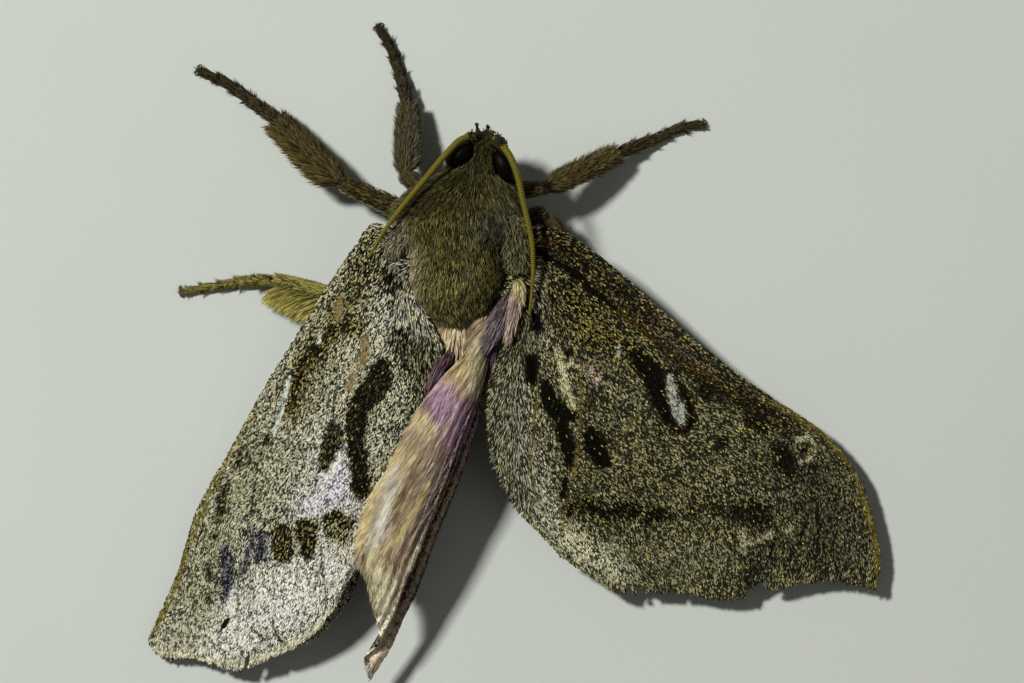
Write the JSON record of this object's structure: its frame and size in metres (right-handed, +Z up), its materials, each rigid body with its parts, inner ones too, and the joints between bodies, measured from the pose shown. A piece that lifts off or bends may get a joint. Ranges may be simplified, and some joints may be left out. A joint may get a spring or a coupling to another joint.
{
  "type": "oxycanus byrsa moth",
  "caption": "Large brown ghost moth standing with forewings half spread and one rose hindwing folded over its abdomen.",
  "frame": {"origin": "middle of the footprint, on the floor that the feet stand on", "axes": "+Z up from the floor through the back, +Y the way the head points, +X to the animal's right"},
  "size_m": [0.0654, 0.0592, 0.0121],
  "materials": {
    "hair": "dense matt olive-brown hair over the head and thorax",
    "leg_hair": "matt brown hair and scales over the legs",
    "wing_scales": "matt brown and cream scales with black and white markings",
    "rose_hair": "soft silky rose and cream hair",
    "cuticle": "satin olive-yellow cuticle",
    "eye": "polished black-brown"
  },
  "bodies": {
    "root": {"abdomen": "rose_hair", "antenna_left": "cuticle", "antenna_right": "cuticle", "eye_left": "eye", "eye_right": "eye", "forewing_left": "wing_scales", "forewing_right": "wing_scales", "head": "hair", "hindwing_left": "rose_hair", "hindwing_right": "rose_hair", "leg_front_left_femur": "leg_hair", "leg_front_left_tarsus": "leg_hair", "leg_front_left_tibia": "leg_hair", "leg_front_right_femur": "leg_hair", "leg_front_right_tarsus": "leg_hair", "leg_front_right_tibia": "leg_hair", "leg_hind_left_femur": "leg_hair", "leg_hind_left_tarsus": "leg_hair", "leg_hind_left_tibia": "leg_hair", "leg_hind_right_femur": "leg_hair", "leg_hind_right_tarsus": "leg_hair", "leg_hind_right_tibia": "leg_hair", "leg_middle_left_femur": "leg_hair", "leg_middle_left_tarsus": "leg_hair", "leg_middle_left_tibia": "leg_hair", "leg_middle_right_femur": "leg_hair", "leg_middle_right_tarsus": "leg_hair", "leg_middle_right_tibia": "leg_hair", "palp_left": "hair", "palp_right": "hair", "prothorax": "hair", "thorax": "hair"}
  },
  "joints": []
}
